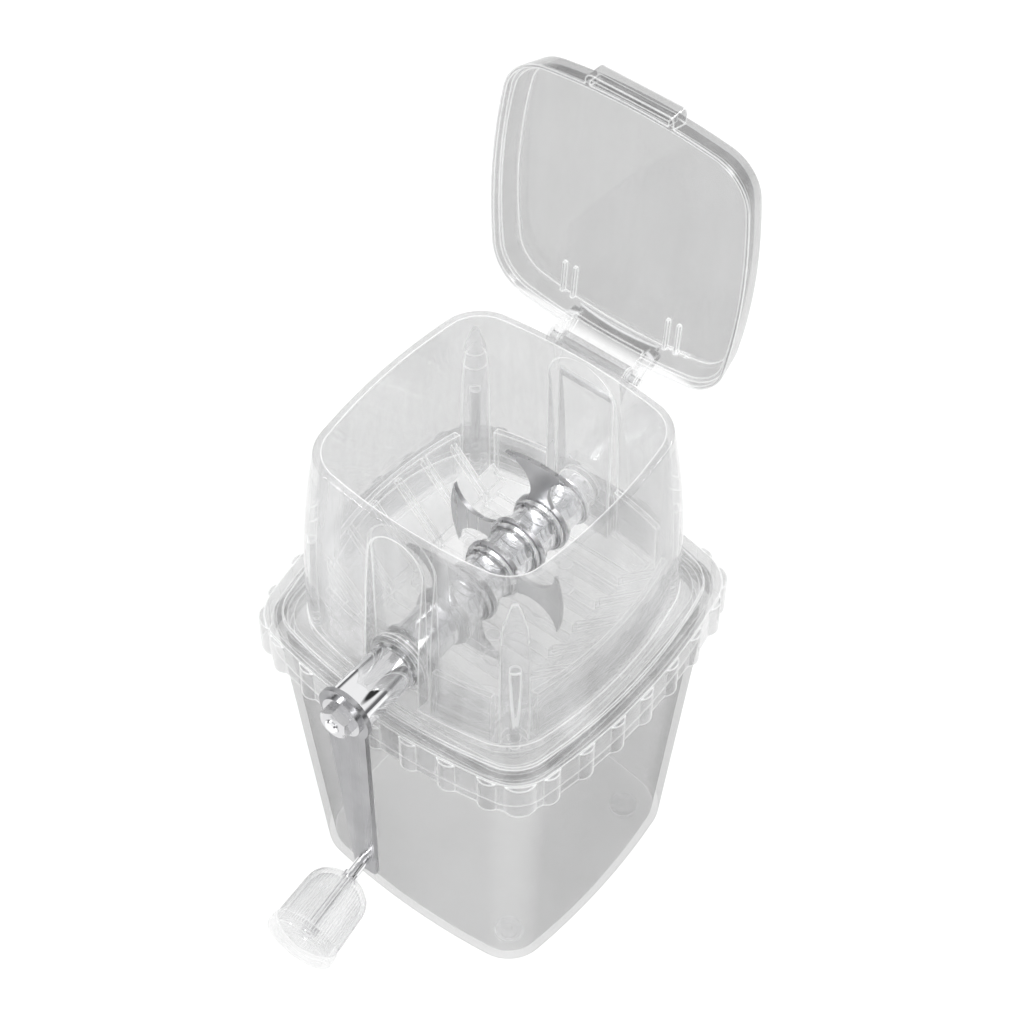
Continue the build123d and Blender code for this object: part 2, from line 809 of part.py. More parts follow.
def make_lid():
    """Shallow tray with a rebated lip, a thumb tab, a hinge notch and two hinge ears."""
    lip = mouth - lid_overlap
    lid = lid_block(0, 0, lid_depth)
    lid = chamfer(lid.faces().sort_by(Axis.Z)[-1].edges(), lid_edge)
    lid -= lid_block(lid_wall, -1, lid_depth - lid_wall)
    rebate_half = hopper_top_half + lid_lip_clearance
    lid -= prism(rebate_half, hopper_top_corner, hopper_top_bow, lip - 1, mouth + lid_seat_gap)
    front = -(hopper_top_half + lid_overhang)
    tab = box(
        (-tab_width / 2, tab_width / 2),
        (front - tab_reach, front + lid_wall),
        (lip, lip + tab_height),
    )
    outer_edges = tab.edges().filter_by(Axis.Z).group_by(Axis.Y)[0]
    tab = fillet(outer_edges, tab_corner)
    tab -= box(
        (-tab_width / 2 + lid_wall, tab_width / 2 - lid_wall),
        (front - tab_reach + lid_wall, front + lid_wall),
        (lip - 1, lip + tab_height - lid_wall),
    )
    lid += tab - lid_block(lid_wall / 2, 0, lid_depth)
    notch_half = barrel_length / 2 + ear_gap
    back = hopper_top_half + lid_overhang
    lid -= box(
        (-notch_half, notch_half),
        (back - lid_wall - lid_taper, back + 5),
        (lip - 1, lip + hinge_notch),
    )
    ceiling = lip + lid_depth - lid_wall / 2
    rib_back = back - lid_wall - lid_taper + 1
    for place in lid_rib_places:
        for side in (-1, 1):
            lid += Pos(side * place, rib_back - lid_rib_length / 2, ceiling - lid_rib_height / 2) * Box(
                lid_rib_width, lid_rib_length, lid_rib_height
            )
    for side in (-1, 1):
        lid += hinge_ear(side)
    lid += hinge_hood()
    return lid.rotate(hinge_axis, -lid_open_angle)


def hinge_hood():
    """Sloping plate between the lid's ears that shades the knuckle and clears its barrel."""
    back = hopper_top_half + lid_overhang
    top = mouth - lid_overlap + lid_depth - lid_edge
    clear_of_axis = (barrel_radius + hood_gap) * math.sqrt(0.5)
    hood = Plane.YZ * Polygon(
        (back - lid_wall - hood_thickness / 2, top),
        (hinge_back + clear_of_axis, hinge_height + clear_of_axis),
        (hinge_back + clear_of_axis + hood_thickness, hinge_height + clear_of_axis + hood_thickness / 2),
        (back - hood_thickness / 2, top + lid_edge / 2),
        align=None,
    )
    return extrude(hood, barrel_length / 2 + ear_gap + ear_thickness / 2, both=True)


def hinge_ear(side):
    """One of the lid's ears, from the tray's back corner down to the hinge pin."""
    low = barrel_length / 2 + ear_gap
    x_range = sorted((side * low, side * (low + ear_thickness)))
    back = hopper_top_half + lid_overhang
    lip = mouth - lid_overlap
    web = Plane.YZ * Polygon(
        (back - lid_wall * 0.8, lip + lid_depth - 2.4),
        (back - lid_wall * 0.8, lip + 0.2),
        (hinge_back - barrel_radius * 0.86, hinge_height + barrel_radius * 0.5),
        (hinge_back + barrel_radius * 0.96, hinge_height + barrel_radius * 0.26),
        (back + 0.2, lip + lid_depth - 2.4),
        align=None,
    )
    middle = (x_range[0] + x_range[1]) / 2
    ear = Pos(middle, 0, 0) * extrude(web, ear_thickness / 2, both=True)
    ear += hinge_barrel(*x_range)
    return ear - hinge_bore(hinge_pin_radius + running_clearance, x_range)


def make_hinge_pin():
    """Pin through the hopper's knuckle and both of the lid's ears."""
    half = barrel_length / 2 + ear_gap + ear_thickness
    return hinge_bore(hinge_pin_radius, (-half, half))


def turned(piece):
    """A piece of the crank assembly, turned to where the crank hangs at rest."""
    return piece.rotate(Axis((0, 0, shaft_height), (0, 1, 0)), -shaft_rest_turn)


parts = {
    "container": make_container(),
    "foot_pads": make_foot_pads(),
    "hopper": make_hopper(),
    "crushing_bed": make_crushing_bed(),
    "bed_screws": make_bed_screws(),
    "front_bearing": make_front_bearing(),
    "back_bearing": make_back_bearing(),
    "hinge_pin": make_hinge_pin(),
    "lid": make_lid(),
    "drive_shaft": turned(make_drive_shaft()),
    "drive_sleeve": turned(make_drive_sleeve()),
    "crank_arm": turned(make_crank_arm()),
    "crank_washer": turned(make_crank_washer()),
    "crank_nut": turned(make_crank_nut()),
    "handle_pin": turned(make_handle_pin()),
    "knob_nut": turned(make_knob_nut()),
    "handle_knob": turned(make_handle_knob()),
    "knob_cap": turned(make_knob_cap()),
}
for number, (place, direction) in enumerate(zip(blade_places(), blade_directions), 1):
    parts[f"blade_{number}"] = turned(make_blade(place, direction))
for number, (low, high) in enumerate(spacer_ranges(), 1):
    parts[f"spacer_{number}"] = turned(make_spacer(low, high))

ranges = [shape.bounding_box() for shape in parts.values()]
front = min(limits.min.Y for limits in ranges)
back = max(limits.max.Y for limits in ranges)
middle = (front + back) / 2

os.makedirs("parts", exist_ok=True)
for name, shape in parts.items():
    export_step(shape.translate((0, -middle, 0)), f"parts/{name}.step")
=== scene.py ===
import math
import json

import bpy
from mathutils import Vector, Matrix
from mathutils.bvhtree import BVHTree


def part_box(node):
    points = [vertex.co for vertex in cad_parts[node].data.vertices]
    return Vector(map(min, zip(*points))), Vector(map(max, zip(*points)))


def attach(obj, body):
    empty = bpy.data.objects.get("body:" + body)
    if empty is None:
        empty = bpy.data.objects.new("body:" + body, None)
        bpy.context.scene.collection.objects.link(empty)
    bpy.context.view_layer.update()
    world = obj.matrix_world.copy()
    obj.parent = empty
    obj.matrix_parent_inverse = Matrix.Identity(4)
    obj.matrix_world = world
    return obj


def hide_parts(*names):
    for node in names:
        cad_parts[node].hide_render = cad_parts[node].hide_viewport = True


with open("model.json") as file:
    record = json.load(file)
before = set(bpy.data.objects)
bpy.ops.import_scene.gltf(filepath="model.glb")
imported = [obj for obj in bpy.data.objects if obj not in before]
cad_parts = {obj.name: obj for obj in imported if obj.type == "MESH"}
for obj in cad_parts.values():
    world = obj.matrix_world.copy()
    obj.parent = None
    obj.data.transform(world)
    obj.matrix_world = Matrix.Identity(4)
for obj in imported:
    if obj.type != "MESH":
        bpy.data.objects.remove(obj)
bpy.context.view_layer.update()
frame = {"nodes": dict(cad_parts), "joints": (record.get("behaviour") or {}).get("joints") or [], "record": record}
nodes = frame["nodes"]
joints = {joint["name"]: joint for joint in frame["joints"]}
MM = 0.001

blade_count = 5
bobbin_count = 6
noise_middle = (0.35, 0.65)  # the part of a noise texture's 0 to 1 range that holds its detail


# ---- Node helpers ----
def new_material(name):
    """An empty node material with its output node."""
    mat = bpy.data.materials.new(name)
    mat.use_nodes = True
    tree = mat.node_tree
    tree.nodes.clear()
    out = tree.nodes.new("ShaderNodeOutputMaterial")
    return mat, tree, out


def noise(tree, scale, detail, stretch=(1.0, 1.0, 1.0)):
    """A noise texture in the object's own coordinates, stretched along its axes."""
    coords = tree.nodes.new("ShaderNodeTexCoord")
    mapping = tree.nodes.new("ShaderNodeMapping")
    mapping.inputs["Scale"].default_value = stretch
    texture = tree.nodes.new("ShaderNodeTexNoise")
    texture.inputs["Scale"].default_value = scale
    texture.inputs["Detail"].default_value = detail
    tree.links.new(coords.outputs["Object"], mapping.inputs["Vector"])
    tree.links.new(mapping.outputs["Vector"], texture.inputs["Vector"])
    return texture.outputs["Fac"]


def ramp(tree, source, low, high, span=noise_middle):
    """A linear remap of a value's span to the range low to high."""
    node = tree.nodes.new("ShaderNodeMapRange")
    node.inputs["From Min"].default_value = span[0]
    node.inputs["From Max"].default_value = span[1]
    node.inputs["To Min"].default_value = low
    node.inputs["To Max"].default_value = high
    tree.links.new(source, node.inputs["Value"])
    return node.outputs["Result"]


def colour_between(tree, source, first, second, span=noise_middle):
    """A colour that runs between two colours over a value's span."""
    node = tree.nodes.new("ShaderNodeValToRGB")
    for element, position, colour in zip(node.color_ramp.elements, span, (first, second)):
        element.position = position
        element.color = (*colour, 1.0)
    tree.links.new(source, node.inputs["Fac"])
    return node.outputs["Color"]


def bump(tree, source, strength, distance):
    """A bump normal from a height value; distance in metres."""
    node = tree.nodes.new("ShaderNodeBump")
    node.inputs["Strength"].default_value = strength
    node.inputs["Distance"].default_value = distance
    tree.links.new(source, node.inputs["Height"])
    return node.outputs["Normal"]


def maths(tree, operation, first, second=None):
    """A math node on one or two values or sockets."""
    node = tree.nodes.new("ShaderNodeMath")
    node.operation = operation
    for place, value in enumerate((first, second)):
        if value is None:
            continue
        if isinstance(value, float):
            node.inputs[place].default_value = value
        else:
            tree.links.new(value, node.inputs[place])
    return node.outputs["Value"]


def vector_maths(tree, operation, source, fixed=None):
    """A vector math node on a vector socket and, if there is one, a fixed vector."""
    node = tree.nodes.new("ShaderNodeVectorMath")
    node.operation = operation
    tree.links.new(source, node.inputs[0])
    if fixed is not None:
        node.inputs[1].default_value = fixed
    return node


def mix_shaders(tree, share, first, second):
    """Two shaders mixed by a share: 0 gives the first, 1 gives the second."""
    node = tree.nodes.new("ShaderNodeMixShader")
    tree.links.new(share, node.inputs["Fac"])
    tree.links.new(first, node.inputs[1])
    tree.links.new(second, node.inputs[2])
    return node.outputs["Shader"]


def see_through(tree, colour):
    """A transparent shader of a plain colour."""
    node = tree.nodes.new("ShaderNodeBsdfTransparent")
    node.inputs["Color"].default_value = (*colour, 1.0)
    return node


def edge_mask(tree, radius):
    """Near 1 within a radius of a sharp edge, where the wall is painted white as a painted highlight of the light
    that moulded plastic gathers there.
    """
    rounded = tree.nodes.new("ShaderNodeBevel")
    rounded.samples = 4
    rounded.inputs["Radius"].default_value = radius
    plain = tree.nodes.new("ShaderNodeNewGeometry")
    dot = vector_maths(tree, "DOT_PRODUCT", rounded.outputs["Normal"])
    tree.links.new(plain.outputs["Normal"], dot.inputs[1])
    bent_span = (0.80, 0.97)
    return ramp(tree, maths(tree, "ABSOLUTE", dot.outputs["Value"]), 1.0, 0.0, bent_span)


def near_line(tree, place):
    """A light tint close to a line along X through a place, falling away to nothing."""
    light_tint = 0.93
    reach = (7 * MM, 12 * MM)
    coords = tree.nodes.new("ShaderNodeTexCoord")
    offset = vector_maths(tree, "SUBTRACT", coords.outputs["Object"], place)
    across = vector_maths(tree, "MULTIPLY", offset.outputs["Vector"], (0.0, 1.0, 1.0))
    distance = vector_maths(tree, "LENGTH", across.outputs["Vector"])
    return ramp(tree, distance.outputs["Value"], light_tint, 0.0, reach)


# ---- Materials ----
def clear_plastic(name, tint, shade, roughness, thinness):
    """Thick clear plastic that bends light, with flow marks and handling scratches.

    shade is the colour of its shadow, and thinness the share that is seen straight through."""
    flow_scale = 35.0
    flow_stretch = (1.0, 1.0, 0.35)
    wear_scale = 420.0
    mat, tree, out = new_material(name)
    shader = tree.nodes.new("ShaderNodeBsdfPrincipled")
    shader.inputs["Transmission Weight"].default_value = 1.0
    shader.inputs["IOR"].default_value = 1.46
    flow = noise(tree, flow_scale, 2.0, flow_stretch)
    darker = tuple(c * 0.97 for c in tint)
    tree.links.new(colour_between(tree, flow, darker, tint), shader.inputs["Base Color"])
    wear = noise(tree, wear_scale, 6.0)
    tree.links.new(ramp(tree, wear, roughness * 0.5, roughness * 1.6), shader.inputs["Roughness"])
    tree.links.new(bump(tree, flow, 0.12, 0.6 * MM), shader.inputs["Normal"])
    path = tree.nodes.new("ShaderNodeLightPath")
    straight = maths(tree, "MAXIMUM", path.outputs["Is Shadow Ray"], thinness)
    lamp_pass = see_through(tree, shade)
    surface = mix_shaders(tree, straight, shader.outputs["BSDF"], lamp_pass.outputs["BSDF"])
    tree.links.new(surface, out.inputs["Surface"])
    return mat


def clear_wall(
    name, tint, veil, edge_radius, edge=0.98, sheen=0.8, streak=1.0, edge_on=1.0, bright_line=None
):
    """Thin clear plastic: lets light straight through, whitens at grazing angles, and is painted white on its
    edges as painted highlight.

    tint is what one surface lets through, veil how cloudy it is, its white cloud also painted highlight that
    brightens the walls, edge how white its edges are painted as highlight, sheen how much it mirrors at grazing
    angles, and streak the share of the cloud in upright streaks, which are painted highlights.
    edge_on is the share of the tint that is left where the wall is seen along its surface.
    bright_line is a place on a line along X around which the wall is almost untinted."""
    flow_scale = 26.0
    flow_stretch = (1.0, 1.0, 0.4)
    wear_scale = 500.0
    streak_scale = 170.0
    streak_stretch = (1.0, 1.0, 0.07)
    streak_span = (0.42, 0.62)
    tilted_span = (0.48, 0.72)
    base_mirror = 0.03
    lamp_share = 0.975
    mat, tree, out = new_material(name)
    facing = tree.nodes.new("ShaderNodeLayerWeight")
    facing.inputs["Blend"].default_value = 0.5
    flow = noise(tree, flow_scale, 3.0, flow_stretch)
    wear = noise(tree, wear_scale, 6.0)
    ripple = bump(tree, flow, 0.25, 0.8 * MM)

    clear = see_through(tree, (1.0, 1.0, 1.0))
    passing = ramp(tree, facing.outputs["Facing"], tint, tint * edge_on, tilted_span)
    if bright_line:
        passing = maths(tree, "MAXIMUM", passing, near_line(tree, bright_line))
    tree.links.new(passing, clear.inputs["Color"])

    mirror = tree.nodes.new("ShaderNodeBsdfGlossy")
    mirror.inputs["Color"].default_value = (1.0, 1.0, 1.0, 1.0)
    tree.links.new(ramp(tree, wear, 0.02, 0.10), mirror.inputs["Roughness"])
    tree.links.new(ripple, mirror.inputs["Normal"])
    grazing = maths(tree, "POWER", facing.outputs["Facing"], 4.0)
    grazing = maths(tree, "ADD", maths(tree, "MULTIPLY", grazing, sheen), base_mirror)
    reflecting = mix_shaders(tree, grazing, clear.outputs["BSDF"], mirror.outputs["BSDF"])

    white = tree.nodes.new("ShaderNodeBsdfPrincipled")
    white.inputs["IOR"].default_value = 1.49
    # The white of the haze and of the painted highlights on the edges and in the streaks.
    haze_and_highlight_white = colour_between(tree, flow, (0.80, 0.805, 0.81), (0.92, 0.925, 0.93))
    tree.links.new(haze_and_highlight_white, white.inputs["Base Color"])
    tree.links.new(ramp(tree, wear, 0.04, 0.16), white.inputs["Roughness"])
    tree.links.new(ripple, white.inputs["Normal"])
    # Painted highlight: upright white streaks and a white cloud, partly haze and partly the light that the walls
    # catch.
    streaks = noise(tree, streak_scale, 5.0, streak_stretch)
    haze_and_streak_highlight = maths(
        tree,
        "ADD",
        ramp(tree, flow, 0.0, veil),
        ramp(tree, streaks, 0.0, veil * streak, streak_span),
    )
    # Painted highlight: white painted on the edges, added to the haze and the painted streaks.
    bright = maths(tree, "ADD", maths(tree, "MULTIPLY", edge_mask(tree, edge_radius), edge), haze_and_streak_highlight)
    whitened = mix_shaders(tree, bright, reflecting, white.outputs["BSDF"])

    path = tree.nodes.new("ShaderNodeLightPath")
    unlit = maths(tree, "MAXIMUM", path.outputs["Is Shadow Ray"], path.outputs["Is Diffuse Ray"])
    lamp_pass = see_through(tree, (lamp_share, lamp_share, lamp_share))
    surface = mix_shaders(tree, unlit, whitened, lamp_pass.outputs["BSDF"])
    tree.links.new(surface, out.inputs["Surface"])
    return mat


def metal(name, dark, light, roughness, grain, stretch, depth):
    """Bare metal with a directional grain in its roughness and bump, and smudges in its colour."""
    smudge_scale = 60.0
    mat, tree, out = new_material(name)
    shader = tree.nodes.new("ShaderNodeBsdfPrincipled")
    shader.inputs["Metallic"].default_value = 1.0
    lines = noise(tree, grain, 5.0, stretch)
    smudge = noise(tree, smudge_scale, 3.0)
    tree.links.new(colour_between(tree, smudge, dark, light), shader.inputs["Base Color"])
    tree.links.new(ramp(tree, lines, roughness * 0.6, roughness * 1.5), shader.inputs["Roughness"])
    tree.links.new(bump(tree, lines, 0.25, depth), shader.inputs["Normal"])
    tree.links.new(shader.outputs["BSDF"], out.inputs["Surface"])
    return mat


# The veils and edge widths below set painted highlight as well as haze: they whiten the walls where reflections
# and refraction brighten them.
bin_wall = clear_wall("clear_bin", 0.90, 0.02, 1.2 * MM, sheen=0.05, streak=0.3, edge_on=0.85)
shell = clear_wall("clear_shell", 0.815, 0.20, 1.1 * MM, sheen=0.9, streak=0.45)
hinge_line = joints["lid_hinge"]["pos_m"]
lid_wall = clear_wall("clear_lid", 0.725, 0.03, 1.2 * MM, sheen=0.5, bright_line=hinge_line)
inner = clear_wall("clear_bed", 0.972, 0.19, 1.0 * MM, streak=0.2)
boss = clear_wall("clear_boss", 0.96, 0.16, 0.7 * MM)
# A high veil and a broad edge paint the posts white, a painted highlight for the light that refraction gives them.
post_clear = clear_wall("clear_post", 0.975, 0.30, 0.8 * MM, sheen=1.0, streak=0.2)
knob_clear = clear_wall("clear_knob", 0.925, 0.12, 0.4 * MM, edge=0.9, sheen=0.6, streak=0.3)
pad = clear_wall("soft_pad", 0.995, 0.13, 1.2 * MM)
insert = clear_plastic("clear_insert", (0.985, 0.99, 0.995), (0.96, 0.96, 0.96), 0.02, 0.12)
pin_clear = clear_plastic("clear_pin", (0.95, 0.955, 0.96), (0.9, 0.9, 0.9), 0.03, 0.5)
brushed = (1.0, 1.0, 0.04)
turned = (1.0, 0.05, 1.0)
even = (1.0, 1.0, 1.0)
blade_steel = metal(
    "blade_steel", (0.50, 0.50, 0.51), (0.60, 0.60, 0.61), 0.30, 240.0, brushed, 0.02 * MM
)
steel = metal("satin_steel", (0.34, 0.34, 0.35), (0.42, 0.42, 0.43), 0.32, 240.0, brushed, 0.02 * MM)
plated = metal("plated_steel", (0.55, 0.55, 0.56), (0.68, 0.68, 0.69), 0.2, 260.0, even, 0.02 * MM)
polished = metal(
    "polished_steel", (0.86, 0.86, 0.87), (0.92, 0.92, 0.93), 0.05, 300.0, turned, 0.01 * MM
)

slot_finish = {
    "clear_shell": shell,
    "clear_insert": insert,
    "soft_pad": pad,
    "steel": steel,
    "polished": polished,
}
node_finish = {
    "container": bin_wall,
    "crushing_bed": inner,
    "lid": lid_wall,
    "hinge_pin": pin_clear,
    "bed_screws": inner,
    "back_bearing": boss,
    "crank_nut": plated,
    "crank_washer": plated,
}
blade_names = ["blade_%d" % number for number in range(1, blade_count + 1)]
for name in blade_names:
    node_finish[name] = blade_steel
slot_of = {part["node"]: part["material_slot"] for part in frame["record"]["subparts"]}
for name, node in nodes.items():
    node.data.materials.clear()
    node.data.materials.append(node_finish.get(name, slot_finish[slot_of[name]]))


# ---- Pieces modelled over the frame ----
def lathe(name, profile, origin, axis, segments=128, ribs=0, rib_depth=0.0, rib_range=(0.0, 0.0)):
    """A closed turned piece: profile points are (distance along the axis, radius), in metres.

    Ribs run lengthwise on the outside, between two distances along the axis."""
    spin = Vector(axis).to_track_quat("Z", "Y").to_matrix()
    verts = []
    for along, radius in profile:
        for step in range(segments):
            angle = 2 * math.pi * step / segments
            grown = radius
            if ribs and rib_range[0] < along < rib_range[1]:
                grown += rib_depth * (2 * abs(math.cos(ribs * angle / 2)) - 1)
            local = Vector((grown * math.cos(angle), grown * math.sin(angle), along))
            verts.append(Vector(origin) + spin @ local)
    faces = []
    count = len(profile)
    for ring in range(count):
        first = ring * segments
        second = (ring + 1) % count * segments
        for step in range(segments):
            beside = (step + 1) % segments
            faces.append((first + step, first + beside, second + beside, second + step))
    mesh = bpy.data.meshes.new(name)
    mesh.from_pydata(verts, [], faces)
    mesh.validate()
    for face in mesh.polygons:
        face.use_smooth = True
    mesh.set_sharp_from_angle(angle=math.radians(32))
    thing = bpy.data.objects.new(name, mesh)
    bpy.context.scene.collection.objects.link(thing)
    return thing


def soften(thing, width, segments):
    """Rounds a piece's sharp edges."""
    round_over = thing.modifiers.new("round_over", "BEVEL")
    round_over.width = width
    round_over.segments = segments
    round_over.limit_method = "ANGLE"
    round_over.angle_limit = math.radians(35)
    round_over.harden_normals = True


def along_axis(node, origin, axis):
    """The lowest and highest distance along an axis, and the largest distance from it, of a node."""
    places = [vertex.co - origin for vertex in nodes[node].data.vertices]
    distances = [place.dot(axis) for place in places]
    radius = max((place - axis * place.dot(axis)).length for place in places)
    return min(distances), max(distances), radius


def add_piece(thing, body, slot_name, material, *replaced):
    """Puts a modelled piece on its body, with its finish, in place of CAD nodes."""
    thing.data.materials.append(material)
    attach(thing, body)
    if replaced:
        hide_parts(*replaced)


def knob_profile(start, end, rim, pin_hole):
    """Half outline of the bell: neck, dome, flaring side, plain band, end recess and pin hole."""
    neck = 3.4 * MM
    dome = 8.0 * MM
    band = 4.6 * MM
    side = rim - 0.9 * MM
    flare = 0.6 * MM
    dome_steps = 14
    skin_end = end - 3.2 * MM
    floor_depth = dome * 0.3
    centre = 0.02 * MM
    side_start = start + dome
    side_length = end - band - side_start
    outline = [(start, pin_hole), (start, neck)]
    for step in range(1, dome_steps + 1):
        turn = math.pi / 2 * step / dome_steps
        reach = neck + (side - neck - flare) * math.sin(turn)
        outline.append((start + dome * (1 - math.cos(turn)), reach))
    for share in (0.02, 0.25, 0.5, 0.75, 0.98):
        outline.append((side_start + side_length * share, side - flare + flare * share))
    outline += [
        (end - band, side - 0.3 * MM),
        (end - band + 0.35 * MM, side - 0.3 * MM),
        (end - band + 0.5 * MM, rim - 0.1 * MM),
        (end - 0.8 * MM, rim),
        (end - 0.2 * MM, rim - 0.25 * MM),
        (end, rim - 0.8 * MM),
        (end, rim - 2.2 * MM),
        (end - 0.3 * MM, rim - 2.7 * MM),
        (end - 1.5 * MM, rim - 3.0 * MM),
        (end - 1.6 * MM, rim - 3.4 * MM),
        (end - 1.6 * MM, rim - 7.6 * MM),
        (end - 1.0 * MM, rim - 7.9 * MM),
        (end - 1.0 * MM, centre),
        (skin_end, centre),
        (skin_end, rim - 2.6 * MM),
        (side_start + 1.0 * MM, side - 2.0 * MM),
        (start + dome * 0.6, side - 3.0 * MM),
        (start + dome * 0.35, side - 5.2 * MM),
        (start + floor_depth, pin_hole + 1.6 * MM),
        (start + floor_depth, pin_hole),
    ]
    return outline


def make_knob():
    """The clear bell on the handle pin, with fine ribs round its side."""
    origin = Vector(joints["knob_spin"]["pos_m"])
    axis = Vector(joints["knob_spin"]["axis"]).normalized()
    start, end, rim = along_axis("handle_knob", origin, axis)
    rib_count = 60
    bell = lathe(
        "knob_bell",
        knob_profile(start, end, rim, 2.1 * MM),
        origin,
        axis,
        segments=8 * rib_count,
        ribs=rib_count,
        rib_depth=0.3 * MM,
        rib_range=(start + 2.5 * MM, end - 4.7 * MM),
    )
    add_piece(bell, "knob", "clear_insert", knob_clear, "handle_knob", "knob_cap")


shaft_axis = Vector((0.0, 1.0, 0.0))
shaft_origin = Vector((0.0, 0.0, joints["crank_turn"]["pos_m"][2]))
journal_bore = 4.1 * MM


def shaft_lathe(name, profile, body, slot_name, material, replaced):
    """A turned piece on the shaft's axis, its profile given along +Y."""
    add_piece(lathe(name, profile, shaft_origin, shaft_axis), body, slot_name, material, replaced)


def make_sleeve():
    """The polished cup over the front journal, open towards the bearing."""
    low, high, radius = along_axis("drive_sleeve", shaft_origin, shaft_axis)
    floor_end = low + 3.0 * MM
    inside = radius - 1.4 * MM
    profile = [
        (low, journal_bore),
        (low, radius - 0.9 * MM),
        (low + 0.15 * MM, radius - 0.4 * MM),
        (low + 0.5 * MM, radius - 0.08 * MM),
        (low + 0.9 * MM, radius),
        (high - 0.6 * MM, radius),
        (high - 0.2 * MM, radius - 0.12 * MM),
        (high, radius - 0.4 * MM),
        (high, inside),
        (floor_end, inside),
        (floor_end, journal_bore),
    ]
    shaft_lathe("sleeve_shell", profile, "crank", "polished", polished, "drive_sleeve")


def make_bobbin(number):
    """A clear spacer: a disc at each end and a neck between them."""
    replaced = "spacer_%d" % number
    low, high, radius = along_axis(replaced, shaft_origin, shaft_axis)
    disc = 2.2 * MM
    neck = radius - 1.3 * MM
    hole = 5.6 * MM
    rounding = 0.4 * MM
    neck_rounding = 0.5 * MM
    profile = [
        (low, hole),
        (low, radius - rounding),
        (low + rounding, radius),
        (low + disc - rounding, radius),
        (low + disc, radius - rounding),
        (low + disc, neck + neck_rounding),
        (low + disc + neck_rounding, neck),
        (high - disc - neck_rounding, neck),
        (high - disc, neck + neck_rounding),
        (high - disc, radius - rounding),
        (high - disc + rounding, radius),
        (high - rounding, radius),
        (high, radius - rounding),
        (high, hole),
    ]
    shaft_lathe("bobbin_%d" % number, profile, "crank", "clear_insert", insert, replaced)


def make_front_bush():
    """The flanged bush that carries the shaft in the hopper's front niche."""
    low, high, radius = along_axis("front_bearing", shaft_origin, shaft_axis)
    flange = 2.4 * MM
    barrel = 7.6 * MM
    profile = [
        (low, journal_bore),
        (low, radius - 1.9 * MM),
        (low + 0.5 * MM, radius - 1.2 * MM),
        (low + 0.7 * MM, radius - 0.5 * MM),
        (low + 1.2 * MM, radius),
        (low + flange - 0.4 * MM, radius),
        (low + flange, radius - 0.4 * MM),
        (low + flange, barrel),
        (high - 0.5 * MM, barrel),
        (high, barrel - 0.5 * MM),
        (high, journal_bore),
    ]
    shaft_lathe("front_bush", profile, "hopper_unit", "clear_insert", insert, "front_bearing")


def keep_inside(thing, node, axis, margin):
    """Pulls a piece's points in towards an upright axis, to stay a margin inside a node's outside."""
    far = 300 * MM
    mesh = nodes[node].data
    outside = BVHTree.FromPolygons([v.co for v in mesh.vertices], [tuple(p.vertices) for p in mesh.polygons])
    for vertex in thing.data.vertices:
        inner = Vector((axis.x, axis.y, vertex.co.z))
        away = (vertex.co - inner).normalized()
        hit = outside.ray_cast(inner + away * far, -away)[0]
        if hit is None:
            continue
        limit = (hit - inner).length - margin
        if (vertex.co - inner).length > limit:
            vertex.co = inner + away * limit


def post_profile():
    """Half outline of a screw post's core: stepped near the top, pointed, with a blind hole."""
    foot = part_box("bed_screws")[1].z - 6.0 * MM
    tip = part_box("hopper")[1].z - 8.2 * MM
    shoulder = tip - 11.0 * MM
    hole_top = foot + 34.0 * MM
    hole = 1.9 * MM
    radius = 4.2 * MM
    step = 0.3 * MM
    centre = 0.02 * MM
    return [
        (foot, hole),
        (foot, radius),
        (shoulder - 6.0 * MM, radius),
        (shoulder - 5.8 * MM, radius - step),
        (shoulder, radius - step),
        (shoulder + 0.2 * MM, radius - 2 * step),
        (shoulder + 5.0 * MM, 2.7 * MM),
        (tip - 0.6 * MM, 1.1 * MM),
        (tip, 0.5 * MM),
        (tip, centre),
        (hole_top, centre),
        (hole_top, hole),
    ]


def post_centres(middle):
    """The centre of each screw post in plan, from the screws that go up into the posts."""
    places = [vertex.co for vertex in nodes["bed_screws"].data.vertices]
    centres = []
    for side, end in ((-1, -1), (1, -1), (-1, 1), (1, 1)):
        near = [p for p in places if (p.x - middle.x) * side > 0 and (p.y - middle.y) * end > 0]
        centre_x = (min(p.x for p in near) + max(p.x for p in near)) / 2
        centre_y = (min(p.y for p in near) + max(p.y for p in near)) / 2
        centres.append((centre_x, centre_y, 0.0))
    return centres


def make_post_cores():
    """A core inside each of the hopper's posts, whitened with painted highlight so that the posts show as bright
    solid clear plastic.
    """
    low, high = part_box("bed_screws")
    middle = (low + high) / 2
    for number, centre in enumerate(post_centres(middle), 1):
        core = lathe("post_core_%d" % number, post_profile(), centre, (0.0, 0.0, 1.0))
        keep_inside(core, "hopper", middle, 0.5 * MM)
        add_piece(core, "hopper_unit", "clear_insert", post_clear)


make_knob()
make_sleeve()
for number in range(1, bobbin_count + 1):
    make_bobbin(number)
make_front_bush()
make_post_cores()
for name in ("crank_arm", "crank_nut", "crank_washer", "knob_nut"):
    soften(nodes[name], 0.25 * MM, 3)
for name in blade_names:
    soften(nodes[name], 0.2 * MM, 2)


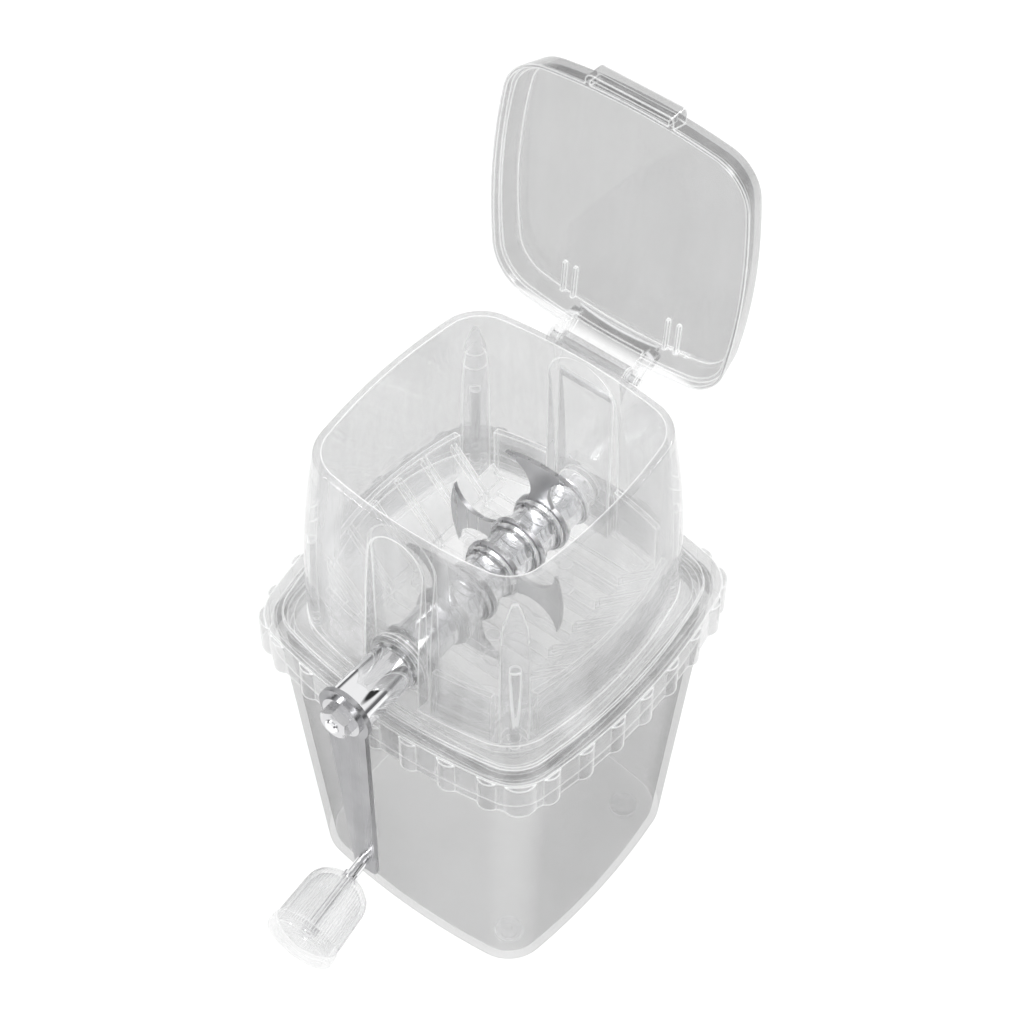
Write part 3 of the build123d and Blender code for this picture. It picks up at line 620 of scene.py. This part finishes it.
# ---- Stage, light and camera ----
def make_floor():
    """A wide pale floor, a hair below the feet so that the two don't share a plane."""
    half = 4.0
    gap = 0.1 * MM
    corners = [(x * half, y * half, -gap) for x, y in ((-1, -1), (1, -1), (1, 1), (-1, 1))]
    mesh = bpy.data.meshes.new("floor")
    mesh.from_pydata(corners, [], [(0, 1, 2, 3)])
    floor = bpy.data.objects.new("floor", mesh)
    bpy.context.scene.collection.objects.link(floor)
    mat, tree, out = new_material("pale_floor")
    shader = tree.nodes.new("ShaderNodeBsdfPrincipled")
    shader.inputs["Roughness"].default_value = 0.9
    speckle = noise(tree, 30.0, 2.0)
    pale = colour_between(tree, speckle, (0.83, 0.83, 0.83), (0.85, 0.85, 0.85))
    tree.links.new(pale, shader.inputs["Base Color"])
    tree.links.new(shader.outputs["BSDF"], out.inputs["Surface"])
    mesh.materials.append(mat)


def make_world():
    """A white studio sky, dark near the horizon, with one dark flag for the metal to mirror."""
    horizon_span = (0.16, 0.34)
    flag_direction = Vector((0.61, 0.50, 0.61)).normalized()
    flag_span = (0.955, 0.975)
    flag_light = 0.04
    world = bpy.data.worlds.new("studio")
    bpy.context.scene.world = world
    world.use_nodes = True
    sky = world.node_tree
    direction = sky.nodes.new("ShaderNodeTexCoord").outputs["Generated"]
    split = sky.nodes.new("ShaderNodeSeparateXYZ")
    sky.links.new(direction, split.inputs["Vector"])
    dark, white = (0.16, 0.16, 0.165), (1.0, 1.0, 1.0)
    band = colour_between(sky, split.outputs["Z"], dark, white, horizon_span)
    towards_flag = vector_maths(sky, "DOT_PRODUCT", direction, flag_direction)
    flag = ramp(sky, towards_flag.outputs["Value"], 1.0, flag_light, flag_span)
    flagged = vector_maths(sky, "SCALE", band)
    sky.links.new(flag, flagged.inputs["Scale"])
    background = sky.nodes["Background"]
    sky.links.new(flagged.outputs["Vector"], background.inputs["Color"])
    background.inputs["Strength"].default_value = 0.95


def area_lamp(name, place, aim, size, power):
    """A soft rectangular lamp at a place, facing a point."""
    lamp = bpy.data.lights.new(name, "AREA")
    lamp.shape = "RECTANGLE"
    lamp.size, lamp.size_y = size
    lamp.energy = power
    thing = bpy.data.objects.new(name, lamp)
    bpy.context.scene.collection.objects.link(thing)
    thing.location = place
    thing.rotation_euler = (Vector(aim) - Vector(place)).to_track_quat("-Z", "Y").to_euler()


def make_camera():
    """A long lens from above the front right, slightly rolled, aimed at the open hopper."""
    azimuth = math.radians(38.17)
    elevation = math.radians(50.32)
    roll = math.radians(0.44)
    distance = 803.4 * MM
    bin_low, bin_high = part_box("container")
    target = Vector((6.82 * MM, (bin_low.y + bin_high.y) / 2, 174.22 * MM))
    level = math.cos(elevation)
    back = Vector((math.sin(azimuth) * level, -math.cos(azimuth) * level, math.sin(elevation)))
    data = bpy.data.cameras.new("camera")
    data.lens = 93.9
    data.sensor_width = 36.0
    data.clip_start = 0.05
    camera = bpy.data.objects.new("camera", data)
    bpy.context.scene.collection.objects.link(camera)
    camera.matrix_world = (
        Matrix.Translation(target + back * distance)
        @ back.to_track_quat("Z", "Y").to_matrix().to_4x4()
        @ Matrix.Rotation(roll, 4, "Z")
    )
    bpy.context.scene.camera = camera


make_floor()
make_world()
area_lamp("key", (-0.9, -0.7, 1.3), (0, 0, 0.12), (0.35, 0.35), 9.0)
area_lamp("fill", (0.9, -0.9, 0.9), (0, 0, 0.12), (0.3, 0.5), 5.0)
area_lamp("rim", (0.5, 1.1, 1.1), (0, 0, 0.15), (0.6, 0.25), 7.0)
make_camera()
bounces = bpy.context.scene.cycles
bounces.max_bounces = 24
bounces.transmission_bounces = 20
bounces.transparent_max_bounces = 48
bounces.glossy_bounces = 8
bpy.context.scene.view_settings.view_transform = "Standard"
